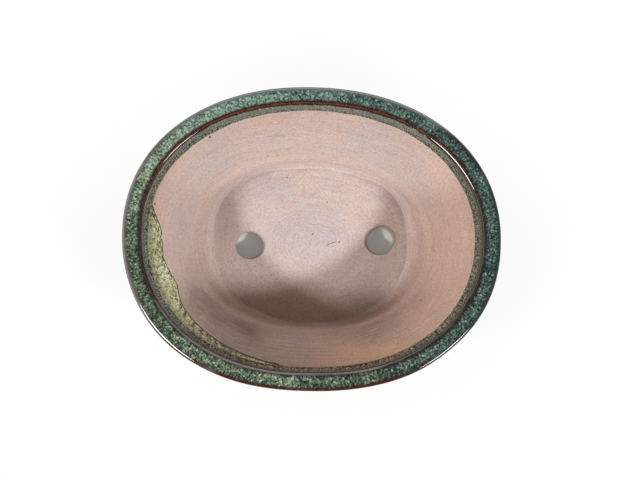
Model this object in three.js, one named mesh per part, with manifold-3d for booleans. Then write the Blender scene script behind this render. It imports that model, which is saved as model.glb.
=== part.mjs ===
import * as THREE from "three";
import Module from "manifold-3d";

// An oval bonsai pot of fired clay, glazed outside and over the lip.
// Millimetres, +Z up, X along the pot. The origin is on the table, under the middle of the pot.

// Overall sizes, over the glaze
const potLength = 210;
const potWidth = 169;
const potHeight = 60;
const planSquareness = 2.16; // exponent of the oval: 2 is an ellipse, more is squarer

// Floor
const floorLength = 111.6; // inside, between the edges where the floor meets the wall
const floorWidth = 88.8;
const floorThickness = 4.8;
const floorCrown = 1.6; // how far the middle of the floor stands up
const heelWidth = 6; // how far the underside reaches out past the edge of the floor
const slabFlare = 4.2; // how far the floor slab's edge leans out over its thickness

// Wall
const bellyHandle = 0.33; // share of the wall's height over which its foot and neck run straight
const neckFlare = 3; // how far the wall leans in below the neck over that share
const coveRun = 11.2; // width of the step from the floor up to the wall
const coveRise = 10;
// Low down the ends slope in further than the long sides. A higher power leaves that to the lowest part.
const outsidePower = 1.5;
const insidePower = 4;

// Lip, with its heights stacked from the seam on the wall upwards
const neckThickness = 4.9; // clay at that seam
const undersideRise = 2.3; // seam to the lip's underside
const lipBelly = 3; // underside to the outermost line
const lipRoll = 1.65; // outermost line to the flat top
const lipSlope = 3.1; // width of the sloping edge over that height
const crestHeight = 0.85; // flat top to the crest of the ridge along the inner edge
const lipOverhang = 4.8; // how far the lip stands out past the neck
const lipTuck = 1.44; // how far its lower edge lies in from the outermost line
const crestSetback = 2.9; // crest out from the inner end of the seam
const ridgeSlope = 1.15; // width of the ridge's inner slope
const ridgeFall = 0.64; // and its height

// Drainage holes
const holeRadius = 7.8;
const holeBevel = 1.1; // round the upper edge
const leftHoleInset = 20.2; // end of the floor to the middle of the hole
const leftHoleY = -1;
const rightHoleInset = 15.1;
const rightHoleY = 3.4;
const knifeShift = 2.1; // a second, shallow cut of the right hole lies this far to the right and back
const knifeDepth = 2.4;
const cutClearance = 1; // how far a cut runs past the clay

// Feet
const footHeight = 3.8;
const footWidth = 9; // across the foot, at the seam under the floor
const footSetback = 1; // in from the edge of the underside
const footFlare = 0.5; // how far the outer face leans out towards the table
const footTaper = 0.8; // how far the inner face follows it
const footDirection = 45; // where the feet stand, in degrees round the oval from its long axis
const footHalfAngle = 21; // half of a foot's stretch of the oval, in degrees
const footFlat = 0.5; // share of that half stretch that stands on the table
const footTip = 1.1; // height of the thin ends
const footLobe = 0.35; // depth of the double curve up to them
const footEdge = 0.6; // bevel along the outer lower edge, at most half the tip

// Glaze
const glazeThickness = 0.9;
const glazeSkirt = 1.5; // bare clay between the underside and the lower edge of the glaze
const bandDrop = 2.8; // how far below the seam the glaze inside ends
const bandReach = 2.5; // and how far in from it
const runStart = 165; // ends of the thick run on the inside wall, in degrees round the oval
const runEnd = 257;
const runWidth = 13.5; // down the wall, at its widest
const runThickness = 2.2;
const runTip = 0.15; // share of that width and thickness at its ends
const runLean = 0.7; // under 1 brings its widest part nearer the start
const runFullness = 1.3; // a lower power fills it out towards the ends
const runEdge = 0.15; // share of the thickness at its upper and lower edge

const seatGap = 0.3; // between the glaze and the clay under it

// Steps round the oval, round a hole, along a foot, and along and across the run
const ovalSteps = 64;
const holeSteps = 32;
const footSteps = 16;
const runSteps = 26;
const runAcross = 5;

// Places on the clay's section. The first number is the inset from the lip's outermost line.
const skin = seatGap + glazeThickness;
const crestZ = potHeight - skin;
const flatZ = crestZ - crestHeight;
const widestZ = flatZ - lipRoll;
const undersideZ = widestZ - lipBelly;
const seamZ = undersideZ - undersideRise;
const floorZ = footHeight + floorThickness;
const floorInset = (potLength - floorLength) / 2;
const endExcess = (floorWidth - potWidth) / 2 + floorInset; // how much further in the ends are at the floor
const slabEdge = [floorInset - heelWidth, footHeight];
const slabTop = shift(slabEdge, -slabFlare, floorThickness);
const skirtStart = between(slabEdge, slabTop, glazeSkirt / floorThickness);
const neck = [skin + lipOverhang, seamZ];
const innerSeam = shift(neck, neckThickness, 0);
const lipUnder = [skin + lipTuck, undersideZ];
const lipWidest = [skin, widestZ];
const lipFlat = [skin + lipSlope, flatZ];
const lipCrest = [innerSeam[0] - crestSetback, crestZ];
const lipShoulder = shift(lipCrest, ridgeSlope, -ridgeFall);
const bandEnd = shift(innerSeam, bandReach, -bandDrop);
const coveTop = [floorInset - coveRun, floorZ + coveRise];
const floorEdge = [floorInset, floorZ];

function shift([inset, z], across, up) {
  return [inset + across, z + up];
}

function between(a, b, share) {
  return shift(a, (b[0] - a[0]) * share, (b[1] - a[1]) * share);
}

// Stretches of the section: a line, or a curve with a handle for each end.
function straight(power, steps, from, to) {
  return { power, steps, curve: new THREE.LineCurve(new THREE.Vector2(...from), new THREE.Vector2(...to)) };
}

function bend(power, steps, from, fromHandle, toHandle, to) {
  const places = [from, shift(from, ...fromHandle), shift(to, ...toHandle), to];
  const curve = new THREE.CubicBezierCurve(...places.map((place) => new THREE.Vector2(...place)));
  return { power, steps, curve };
}

// The places along stretches that follow each other, each moved off the clay by a distance.
function sectionLine(stretches, distance = 0) {
  const line = [];
  for (const { power, steps, curve } of stretches) {
    for (let i = line.length ? 1 : 0; i <= steps; i++) {
      const place = curve.getPoint(i / steps);
      const along = curve.getTangent(i / steps);
      line.push([place.x - along.y * distance, place.y + along.x * distance, power]);
    }
  }
  return line;
}

const bellyPull = (seamZ - floorZ) * bellyHandle;
const slabLean = slabFlare / floorThickness;
const wallOutside = bend(
  outsidePower,
  6,
  slabTop,
  [-bellyPull * slabLean, bellyPull],
  [neckFlare, -bellyPull],
  neck,
);

// The handles of the lip's curves are shares of the sizes they run along.
const lipHeight = crestZ - seamZ;
const lipOver = [
  bend(
    outsidePower,
    3,
    neck,
    [-0.1 * lipOverhang, 0.9 * undersideRise],
    [0.65 * lipTuck, -0.3 * undersideRise],
    lipUnder,
  ),
  bend(outsidePower, 2, lipUnder, [-0.65 * lipTuck, 0.2 * lipBelly], [0, -0.5 * lipBelly], lipWidest),
  bend(outsidePower, 3, lipWidest, [0, 0.15 * lipRoll], [-0.15 * lipSlope, 0], lipFlat),
  bend(insidePower, 3, lipFlat, [0.4 * lipOverhang, 0], [-0.35 * crestSetback, 0], lipCrest),
  bend(
    insidePower,
    2,
    lipCrest,
    [0.2 * ridgeSlope, 0],
    [-0.3 * ridgeSlope, 0.4 * ridgeFall],
    lipShoulder,
  ),
  bend(
    insidePower,
    4,
    lipShoulder,
    [0.2 * ridgeSlope, -0.25 * ridgeFall],
    [-0.3 * crestSetback, 0.4 * lipHeight],
    innerSeam,
  ),
];

// The inside of the wall starts under the glaze band and falls straight to the step up from the floor.
const wallFall = [coveTop[0] - bandEnd[0], coveTop[1] - bandEnd[1]];
const bandHandle = wallFall.map((length) => -0.04 * length);
const wallBand = bend(insidePower, 2, innerSeam, [0.2 * bandReach, -0.4 * bandDrop], bandHandle, bandEnd);
const wallInside = [
  straight(insidePower, 2, bandEnd, coveTop),
  bend(
    insidePower,
    4,
    coveTop,
    [0.35 * coveRun, -0.4 * coveRise],
    [-0.35 * coveRun, 0.05 * coveRise],
    floorEdge,
  ),
];

const wasm = await Module();
wasm.setup();

// A point of an oval with the given half sizes.
function ovalPoint(halfX, halfY, z, angle) {
  const power = 2 / planSquareness;
  const cos = Math.cos(angle);
  const sin = Math.sin(angle);
  const x = halfX * Math.sign(cos) * Math.abs(cos) ** power;
  const y = halfY * Math.sign(sin) * Math.abs(sin) ** power;
  return new THREE.Vector3(x, y, z);
}

// A place on the section, carried round the pot to an angle.
function potPoint([inset, z, power = outsidePower], angle) {
  const sink = Math.max(seamZ - Math.max(z, footHeight), 0) / (seamZ - floorZ);
  const halfY = potWidth / 2 - inset + endExcess * sink ** power;
  return ovalPoint(potLength / 2 - inset, halfY, z, angle);
}

function loopOf(steps, pointAt) {
  return Array.from({ length: steps }, (_, i) => pointAt((i / steps) * 2 * Math.PI));
}

// Joins equal loops of points into one closed surface whose faces point out.
// Where the last loop doesn't join the first, a fan to the middle closes each end.
function loft(loops, joined = false) {
  const size = loops[0].length;
  const points = loops.flat();
  const faces = [];
  for (let row = 0; row < (joined ? loops.length : loops.length - 1); row++) {
    const next = (row + 1) % loops.length;
    for (let i = 0; i < size; i++) {
      const j = (i + 1) % size;
      faces.push(row * size + i, row * size + j, next * size + j);
      faces.push(row * size + i, next * size + j, next * size + i);
    }
  }
  for (const row of joined ? [] : [0, loops.length - 1]) {
    const middle = loops[row].reduce((sum, point) => sum.add(point), new THREE.Vector3());
    points.push(middle.divideScalar(size));
    for (let i = 0; i < size; i++) {
      const edge = [row * size + i, row * size + ((i + 1) % size)];
      faces.push(...(row === 0 ? edge.reverse() : edge), points.length - 1);
    }
  }
  let volume = 0;
  for (let i = 0; i < faces.length; i += 3) {
    const [a, b, c] = [0, 1, 2].map((k) => points[faces[i + k]].clone());
    volume += a.dot(b.cross(c));
  }
  const geometry = new THREE.BufferGeometry().setFromPoints(points);
  geometry.setIndex(volume < 0 ? faces.reverse() : faces);
  geometry.computeVertexNormals();
  return geometry;
}

function ringSolid(section) {
  return loft(section.map((place) => loopOf(ovalSteps, (angle) => potPoint(place, angle))), true);
}

function toManifold(geometry) {
  const vertProperties = new Float32Array(geometry.getAttribute("position").array);
  const triVerts = new Uint32Array(geometry.index.array);
  return new wasm.Manifold(new wasm.Mesh({ numProp: 3, vertProperties, triVerts }));
}

function toGeometry(solid) {
  const { vertProperties, triVerts } = solid.getMesh();
  const geometry = new THREE.BufferGeometry();
  geometry.setAttribute("position", new THREE.BufferAttribute(vertProperties, 3));
  geometry.setIndex(new THREE.BufferAttribute(triVerts, 1));
  geometry.computeVertexNormals();
  return geometry;
}

const pot = new THREE.Group();

function addPiece(name, geometry, finish) {
  const mesh = new THREE.Mesh(geometry, finish);
  mesh.name = name;
  pot.add(mesh);
}

function finishOf(color, roughness) {
  return new THREE.MeshStandardMaterial({ color, roughness, metalness: 0 });
}

const bareClay = finishOf(0xd0b3a5, 0.85);
const greenGlaze = finishOf(0x5a6e62, 0.12);
const yellowGlaze = finishOf(0xa4a47e, 0.15);

// Floor slab: flat where the wall stands on it, slightly crowned inside, with two drainage holes
function floorHeight(share) {
  return floorZ + floorCrown * (1 - share ** 2);
}

function floorSlab() {
  const edges = [slabEdge, slabTop].map((place) => loopOf(ovalSteps, (angle) => potPoint(place, angle)));
  const crown = [1, 0.8, 0.6, 0.4, 0.2].map((share) =>
    loopOf(ovalSteps, (angle) =>
      ovalPoint((floorLength / 2) * share, (floorWidth / 2) * share, floorHeight(share), angle),
    ),
  );
  return toManifold(loft([...edges, ...crown]));
}

// A round cutter that widens upwards, from a given height to above the floor.
function cutter(x, y, radius, bottom) {
  const bevelZ = floorHeight((2 * Math.abs(x)) / floorLength) - holeBevel;
  const top = floorZ + floorCrown + cutClearance;
  const profile = [
    [radius, bottom],
    [radius, bevelZ],
    [radius + top - bevelZ, top],
  ];
  const loops = profile.map(([r, z]) =>
    loopOf(holeSteps, (angle) => new THREE.Vector3(x + r * Math.cos(angle), y + r * Math.sin(angle), z)),
  );
  return toManifold(loft(loops));
}

const holeBottom = footHeight - cutClearance;
const leftHoleX = leftHoleInset - floorLength / 2;
const rightHoleX = floorLength / 2 - rightHoleInset;
const cuts = [
  cutter(leftHoleX, leftHoleY, holeRadius, holeBottom),
  cutter(rightHoleX, rightHoleY, holeRadius, holeBottom),
  cutter(rightHoleX + knifeShift, rightHoleY + knifeShift, holeRadius - knifeShift / 2, floorZ - knifeDepth),
];
addPiece("base_slab", toGeometry(cuts.reduce((slab, cut) => slab.subtract(cut), floorSlab())), bareClay);

// Wall and lip
const wallSection = [...sectionLine([wallOutside]), ...sectionLine([wallBand, ...wallInside])];
addPiece("body_wall", ringSolid(wallSection), bareClay);
addPiece("rim_lip", ringSolid(sectionLine(lipOver)), bareClay);

// Glaze over the outside, the lip and the band inside it
const glazedLine = [straight(outsidePower, 1, skirtStart, slabTop), wallOutside, ...lipOver, wallBand];
const glazeSection = [...sectionLine(glazedLine, skin), ...sectionLine(glazedLine, seatGap).reverse()];
addPiece("glaze_coat", ringSolid(glazeSection), greenGlaze);

// Thick run of glaze on the inside wall, just below that band
function glazeRun() {
  const along = new THREE.Vector2(...wallFall).normalize();
  const start = THREE.MathUtils.degToRad(runStart);
  const end = THREE.MathUtils.degToRad(runEnd);
  const shares = Array.from({ length: runAcross + 1 }, (_, k) => k / runAcross);
  const loops = [];
  for (let i = 0; i <= runSteps; i++) {
    const share = i / runSteps;
    const swell = runTip + (1 - runTip) * Math.sin(Math.PI * share ** runLean) ** runFullness;
    const place = (across, height) => {
      const down = seatGap + across * runWidth * swell;
      const spot = shift(bandEnd, along.x * down - along.y * height, along.y * down + along.x * height);
      return [...spot, insidePower];
    };
    const crown = (across) => runEdge + (1 - runEdge) * Math.sin(Math.PI * across);
    const crowned = (across) => seatGap + runThickness * swell * crown(across);
    const lower = shares.map((across) => place(across, seatGap));
    const upper = shares.map((across) => place(across, crowned(across))).reverse();
    const angle = start + (end - start) * share;
    loops.push([...lower, ...upper].map((spot) => potPoint(spot, angle)));
  }
  return loft(loops);
}

addPiece("glaze_run", glazeRun(), yellowGlaze);

// A cloud foot: flat on the table in the middle, with a double curve up to each thin end
function footLowEdge(share) {
  const rise = Math.max(Math.abs(share) - footFlat, 0) / (1 - footFlat);
  const climb = (1 - Math.cos(Math.PI * rise)) / 2;
  return (footHeight - footTip) * climb + footLobe * Math.sin(2 * Math.PI * rise);
}

function footSolid(direction) {
  const outer = slabEdge[0] + footSetback;
  const bevel = Math.min(footEdge, footTip / 2);
  const lean = (z) => (footHeight - z) / footHeight;
  const outerAt = (z) => outer - footFlare * lean(z);
  const innerAt = (z) => outer + footWidth - footTaper * lean(z);
  const loops = [];
  for (let i = 0; i <= footSteps; i++) {
    const share = (2 * i) / footSteps - 1;
    const low = footLowEdge(share);
    const places = [
      [outer, footHeight],
      [outerAt(low + bevel), low + bevel],
      [outerAt(low) + bevel, low],
      [innerAt(low), low],
      [outer + footWidth, footHeight],
    ];
    const angle = THREE.MathUtils.degToRad(direction + share * footHalfAngle);
    loops.push(places.map((place) => potPoint(place, angle)));
  }
  return loft(loops);
}

const feet = {
  foot_back_right: footDirection,
  foot_back_left: 180 - footDirection,
  foot_front_left: 180 + footDirection,
  foot_front_right: 360 - footDirection,
};
for (const [name, direction] of Object.entries(feet)) addPiece(name, footSolid(direction), greenGlaze);

export default pot;
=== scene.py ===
import math
import bmesh
import bpy
import numpy as np
from mathutils import Matrix, Vector, noise
from mathutils.bvhtree import BVHTree


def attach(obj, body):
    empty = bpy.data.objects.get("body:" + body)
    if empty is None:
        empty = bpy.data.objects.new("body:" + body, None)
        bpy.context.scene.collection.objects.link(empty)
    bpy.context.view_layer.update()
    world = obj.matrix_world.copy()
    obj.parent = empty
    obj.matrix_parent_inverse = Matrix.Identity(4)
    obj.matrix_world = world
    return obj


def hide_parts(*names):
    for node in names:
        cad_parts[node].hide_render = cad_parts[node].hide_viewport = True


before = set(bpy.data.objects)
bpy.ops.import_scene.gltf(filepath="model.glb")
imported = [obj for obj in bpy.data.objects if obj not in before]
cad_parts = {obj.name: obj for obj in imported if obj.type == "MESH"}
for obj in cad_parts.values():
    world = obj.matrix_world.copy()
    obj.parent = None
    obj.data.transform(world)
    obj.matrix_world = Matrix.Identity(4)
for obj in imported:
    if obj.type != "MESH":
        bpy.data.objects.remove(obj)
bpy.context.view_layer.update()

# The pot over bare clay in millimetres. Places on its section are (inset from its outline, height).
pot = {
    "length": 210,
    "width": 169,
    "squareness": 2.16,  # exponent of the oval
    "endExcess": 9.1,  # how much further in the ends are at the floor
    "footHeight": 3.8,
    "floorZ": 8.6,
    "floorCrown": 1.6,
    "seamZ": 51,  # where the lip lies on the wall
    "slabEdge": (43.2, 3.8),
    "slabTop": (39, 8.6),
    "neck": (6, 51),
    "lipUnder": (2.64, 53.3),
    "lipWidest": (1.2, 57.2),
    "lipFlat": (3.1, 57.95),
    "lipCrest": (8.0, 58.8),
    "shoulder": (9.15, 58.16),
    "innerSeam": (10.9, 51),
    "bandEnd": (13.4, 48.2),
    "coveTop": (38, 18.6),
    "floorEdge": (49.2, 8.6),
}
wallHeight = pot["seamZ"] - pot["floorZ"]
floorHalfX = pot["length"] / 2 - pot["floorEdge"][0]
floorHalfY = pot["width"] / 2 - pot["floorEdge"][0] + pot["endExcess"]


# One curved stretch of the section. Power says how the pot's ends draw in with depth.
def bend(steps, power, start, startHandle, endHandle, end):
    a, d = np.array(start, float), np.array(end, float)
    b, c = a + startHandle, d + endHandle
    t = np.linspace(0, 1, steps + 1)[:, None]
    place = (1 - t) ** 3 * a + 3 * (1 - t) ** 2 * t * b + 3 * (1 - t) * t**2 * c + t**3 * d
    return place, power


def straight(steps, power, start, end):
    third = (np.array(end, float) - start) / 3
    return bend(steps, power, start, third, -third, end)


# Stretches joined into one line: places, the way off the clay at each, and the distance along it
def joinStretches(*stretches):
    kept = [(part[min(i, 1):], power) for i, (part, power) in enumerate(stretches)]
    place = np.vstack([part for part, power in kept])
    far = np.concatenate([[0], np.cumsum(np.linalg.norm(np.diff(place, axis=0), axis=1))])
    along = np.gradient(place, far, axis=0)
    along /= np.linalg.norm(along, axis=1)[:, None]
    powers = np.concatenate([np.full(len(part), float(power)) for part, power in kept])
    return {"place": place, "off": np.stack([-along[:, 1], along[:, 0]], 1), "power": powers, "far": far}


def ovalPoints(halfX, halfY, z, turns):
    power = 2 / pot["squareness"]
    cos, sin = np.cos(turns), np.sin(turns)
    x = halfX * np.sign(cos) * np.abs(cos) ** power
    y = halfY * np.sign(sin) * np.abs(sin) ** power
    return np.stack([x, y, z + 0 * x], -1) / 1000


def roundTurns(steps):
    return np.linspace(0, 2 * np.pi, steps, endpoint=False)


# 0 at the first bound, 1 at the second, which may be the lower one
def smoothStep(values, none, full):
    t = np.clip((values - none) / (full - none), 0, 1)
    return t * t * (3 - 2 * t)


# A value given round the pot as (degrees, value) pairs and softened. 0 is the right, 90 the back.
def readRound(table, turns, soften=6):
    places, values = zip(*table)
    steps = np.linspace(-soften, soften, 5)
    return np.mean([np.interp((np.degrees(turns) + step) % 360, places, values) for step in steps], axis=0)


# The rim was ovalled by hand: how far its outline and ridge wander inwards, as (degrees, millimetres)
rimWander = {
    "outline": (
        (0, 0), (15, 0.1), (60, 0.2), (90, 0), (150, 0.1), (180, 0.2), (195, 0.75), (210, 0.3), (225, -0.3),
        (250, -0.45), (268, 0.35), (285, 0.15), (300, -0.3), (318, 0.35), (335, 0), (360, 0),
    ),
    "ridge": (
        (0, -0.2), (15, 0.05), (30, 0.45), (60, 0.35), (90, 0.15), (115, 0.3), (150, 0.4), (170, 0.4),
        (190, 1.2), (205, 1.0), (222, 0.3), (240, -0.2), (256, -0.25), (272, 0.45), (290, 0), (320, 0),
        (335, 0.4), (350, 0.2), (360, -0.2),
    ),
    "between": (3, 8),  # insets between which the outline's wander gives way to the ridge's
    "fade": (36, 50),  # heights on the wall between which it sets in
}


# Places of the section, given by inset and height, carried round the pot.
def potPoints(inset, z, power, turns):
    outline, ridge = (readRound(rimWander[part], turns) for part in ("outline", "ridge"))
    wander = outline + (ridge - outline) * smoothStep(inset, *rimWander["between"])
    inset = inset + wander * smoothStep(z, *rimWander["fade"])
    sink = np.clip(pot["seamZ"] - np.maximum(z, pot["footHeight"]), 0, None) / wallHeight
    halfY = pot["width"] / 2 - inset + pot["endExcess"] * sink**power
    return ovalPoints(pot["length"] / 2 - inset, halfY, z, turns)


# The inset and height of the line's places, lifted off the clay by some millimetres
def lifted(line, lift):
    return (line["place"][:, k:k + 1] + line["off"][:, k:k + 1] * lift for k in (0, 1))


def carryRound(line, lift, turns):
    lift = np.broadcast_to(lift, (len(line["far"]), len(turns)))
    return potPoints(*lifted(line, lift), line["power"][:, None], turns)


# Soft lumps, about -1 to 1, at points in metres. Size is in millimetres.
def lumps(points, size, seed):
    seedStep = 13.7
    flat = points.reshape(-1, 3) * (1000 / size) + seed * seedStep
    return np.array([noise.noise(place) for place in flat.tolist()]).reshape(points.shape[:-1])


# Closed loops of points joined into one body, with a fan at each end unless the last joins the first.
# Marks are values at the points, which the finishes read.
def buildPiece(name, loops, finish, joined=False, marks=None):
    rows, size = loops.shape[:2]
    points = loops.reshape(-1, 3)
    index = np.arange(rows * size).reshape(rows, size)
    if joined:
        index = np.vstack([index, index[:1]])
    turned = np.roll(index, -1, 1)
    faces = np.stack([index[:-1], turned[:-1], turned[1:], index[1:]], -1).reshape(-1, 4).tolist()
    if not joined:
        for row in (0, rows - 1):
            points = np.vstack([points, loops[row].mean(0)])
            faces += [[i, j, len(points) - 1] for i, j in zip(index[row].tolist(), turned[row].tolist())]
    mesh = bpy.data.meshes.new(name)
    mesh.from_pydata(points.tolist(), [], faces)
    for markName, values in (marks or {}).items():
        flat = values.reshape(rows * size, -1)
        flat = np.vstack([flat] + [flat[:1]] * (len(points) - len(flat)))
        kind, field = ("FLOAT_VECTOR", "vector") if flat.shape[1] == 3 else ("FLOAT", "value")
        mesh.attributes.new(markName, kind, "POINT").data.foreach_set(field, flat.astype(np.float32).ravel())
    facesOut(mesh)
    return placePiece(name, mesh, finish)


def facesOut(mesh):
    shape = bmesh.new()
    shape.from_mesh(mesh)
    bmesh.ops.recalc_face_normals(shape, faces=shape.faces)
    shape.to_mesh(mesh)
    shape.free()


def addObject(name, data):
    thing = bpy.data.objects.new(name, data)
    bpy.context.scene.collection.objects.link(thing)
    return thing


def placePiece(name, mesh, finish):
    mesh.shade_smooth()
    mesh.materials.clear()
    mesh.materials.append(finish)
    return addObject(name, mesh)


def standFor(piece, node, creaseAngle=None):
    if creaseAngle:
        piece.data.set_sharp_from_angle(angle=math.radians(creaseAngle))
    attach(piece, "root")
    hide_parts(node)


print("form ready")


# Colours are written as they look on screen, 0 to 255.
def paint(colour):
    share = [value / 255 for value in colour]
    return tuple(v / 12.92 if v <= 0.04045 else ((v + 0.055) / 1.055) ** 2.4 for v in share) + (1.0,)


# The tree that new nodes go into: that of the finish or the world being made
into = {}


def setInputs(node, inputs):
    for key, value in inputs.items():
        if isinstance(value, bpy.types.NodeSocket):
            into["tree"].links.new(value, node.inputs[key])
        else:
            node.inputs[key].default_value = value


def addNode(kind, settings=None, inputs=None):
    node = into["tree"].nodes.new("ShaderNode" + kind)
    for key, value in (settings or {}).items():
        setattr(node, key, value)
    setInputs(node, inputs or {})
    return node


# One kind of sum on two values, or on more of them one after another
def mathOf(operation, first, *others):
    for other in others:
        first = addNode("Math", {"operation": operation}, {0: first, 1: other}).outputs[0]
    return first


def added(*values):
    return mathOf("ADD", *values)


# Values multiplied, or the share that lies inside all of the given ones
def within(*values):
    return mathOf("MULTIPLY", *values)


def largest(*values):
    return mathOf("MAXIMUM", *values)


# A reading of noise, 0 to 1, made to swing round nought.
def centred(value, amount):
    return within(mathOf("SUBTRACT", value, 0.5), amount)


# The value's eased way from one bound to the other, which may be the lower one
def spread(value, none, full, start=0.0, end=1.0):
    inputs = {"Value": value, "From Min": none, "From Max": full, "To Min": start, "To Max": end}
    return addNode("MapRange", {"interpolation_type": "SMOOTHSTEP"}, inputs).outputs["Result"]


# The share inside a zone: where it sets in and is full, and maybe where it drops and ends
def zoneOf(value, zone):
    share = spread(value, *zone[:2])
    return share if len(zone) == 2 else within(share, spread(value, zone[3], zone[2]))


# Three numbers are a colour as seen on screen, and four are plain factors to multiply by.
def mixColours(share, first, second, way="MIX"):
    first, second = (paint(c) if isinstance(c, tuple) and len(c) == 3 else c for c in (first, second))
    inputs = {0: share, 6: first, 7: second}
    return addNode("Mix", {"data_type": "RGBA", "blend_type": way}, inputs).outputs[2]


def tinted(colour, factors):
    return mixColours(1.0, colour, factors, "MULTIPLY")


# Colours or factors laid over a colour one after another, each by its share
def layered(colour, *layers):
    for share, layer in layers:
        isFactors = isinstance(layer, tuple) and len(layer) == 4
        colour = mixColours(share, colour, layer, "MULTIPLY" if isFactors else "MIX")
    return colour


def vectorOf(operation, first, second, output=0):
    return addNode("VectorMath", {"operation": operation}, {0: first, 1: second}).outputs[output]


def placeOf():
    return addNode("TexCoord").outputs["Object"]


def axesOf(place):
    return tuple(addNode("SeparateXYZ", None, {0: place}).outputs)


# How far a place lies to one side: so much of across, so much of back, and what else is added
def towards(place, across, behind, *more):
    return added(vectorOf("DOT_PRODUCT", place, (across, behind, 0), "Value"), *more)


# The distance in metres from a point given in millimetres
def awayFrom(place, *point):
    return vectorOf("DISTANCE", place, tuple(value / 1000 for value in point), "Value")


# Soft noise whose lumps are about size millimetres across.
def noiseOf(place, size, detail=2.0, roughness=0.5, twist=0.0, output="Fac"):
    inputs = {"Vector": place, "Scale": 1000 / size, "Detail": detail, "Roughness": roughness}
    return addNode("TexNoise", None, {**inputs, "Distortion": twist}).outputs[output]


# The same, swinging round nought by some amount.
def waverOf(place, size, amount, detail=2.0, roughness=0.5):
    return centred(noiseOf(place, size, detail, roughness), amount)


# Places moved about by up to half the amount, in millimetres.
def wobbled(place, size, amount):
    shift = vectorOf("SUBTRACT", noiseOf(place, size, output="Color"), (0.5, 0.5, 0.5))
    return vectorOf("ADD", place, vectorOf("MULTIPLY", shift, (amount / 1000,) * 3))


def rampOf(value, stops):
    node = addNode("ValToRGB", None, {"Fac": value})
    marks = node.color_ramp.elements
    while len(marks) < len(stops):
        marks.new(0.5)
    for mark, (position, colour) in zip(marks, stops):
        mark.position = position
        mark.color = paint(colour)
    return node.outputs["Color"]


def markOf(name, output="Fac"):
    return addNode("Attribute", {"attribute_name": name}).outputs[output]


def bumpOf(height, distance, strength, under=None):
    inputs = {"Height": height, "Distance": distance / 1000, "Strength": strength}
    if under is not None:
        inputs["Normal"] = under
    return addNode("Bump", None, inputs).outputs["Normal"]


def newFinish(name):
    finish = bpy.data.materials.new(name)
    finish.use_nodes = True
    into["tree"] = finish.node_tree
    return finish, finish.node_tree.nodes["Principled BSDF"]


# Bare clay: pinkish stoneware with throwing lines, a grey-lilac bloom and iron specks, with painted light and
# shade
clayLooks = {
    "body": (196, 175, 167),
    "bloom": (180, 171, 173),
    "paintedShade": (120, 103, 96),
    "warmAndShade": (186, 156, 142),
    "floor": (1.41, 1.47, 1.53, 1),
    "paintedFill": (1.25, 1.22, 1.19, 1),  # painted light: the wall paler at both ends and in front
    "paintedFrontFill": (1.48, 1.35, 1.18, 1),  # and painted warmer light high up in front
    "ring": (216, 188, 172),  # a paler ring where the wall turns in to the floor
    "lineDark": (170, 146, 134),
    "dusty": (0.7, 0.67, 0.66, 1),
    "speck": (104, 66, 50),
    "pale": (214, 196, 186),
    # middle and size of the grey-lilac clouds and of the darker clouds of painted shade, in millimetres
    "clouds": (
        (4, 6, 9.6, 26), (-16, 2, 9.6, 18), (-56, 42, 40, 22), (30, 58, 40, 18), (-26, 34, 12, 20),
        (-70, 8, 30, 22),
    ),
    "paintedShadeClouds": ((-60, -36, 27, 21), (-50, -44, 30, 18), (-38, -50, 32, 18), (38, -46, 18, 30)),
    # unevenness: how far it is squeezed up the wall, its size, detail and roughness
    "broad": (2.2, 30, 3, 0.55),
    "streak": (6, 13, 4, 0.6),
    "lineScale": 0.7,
    "speckScale": 150,
    # Zones along the clay are in millimetres from the middle of the floor, others in metres.
    "onFloor": (66, 52),
    "warmSideAndShade": (0.02, 0.12),
    "nearRim": (0.03, 0.05),
    "ends": (0.05, 0.085),
    "front": (-0.02, -0.05),
    "frontHigh": (-0.052, -0.062),
    "offCorner": ((-0.01, 0.03), (-0.045, -0.02)),  # across and back: not in the front left corner
    "ringZone": (68, 71.5, 73.5, 78),
    "shadePatches": (
        # painted shade at the foot of the back wall
        ((0.88, 0.88, 0.89, 1), {"along": (54.4, 56.4, 59.5, 62.5), "back": (0.03, 0.04)}),
        # painted shade along the foot of the front wall
        ((0.84, 0.82, 0.79, 1), {"along": (72, 62), "back": (-0.023, -0.036)}),
        # painted shade in the two deep corners of the floor
        ((0.84, 0.82, 0.84, 1),
         {"along": (50, 56, 57.5, 61.5), "across": (0.022, 0.034), "back": (0.012, 0.024)}),
        ((0.84, 0.82, 0.84, 1),
         {"along": (50, 56, 57.5, 61.5), "across": (-0.02, -0.03), "back": (0.008, 0.02)}),
    ),
}


def cloudsOf(place, clouds, patchy):
    moved = wobbled(place, 20, 26)
    shares = []
    for *middle, size in clouds:
        shares.append(spread(awayFrom(moved, *middle), 1.2 * size / 1000, 0.1 * size / 1000))
    return within(largest(*shares), patchy)


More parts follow.
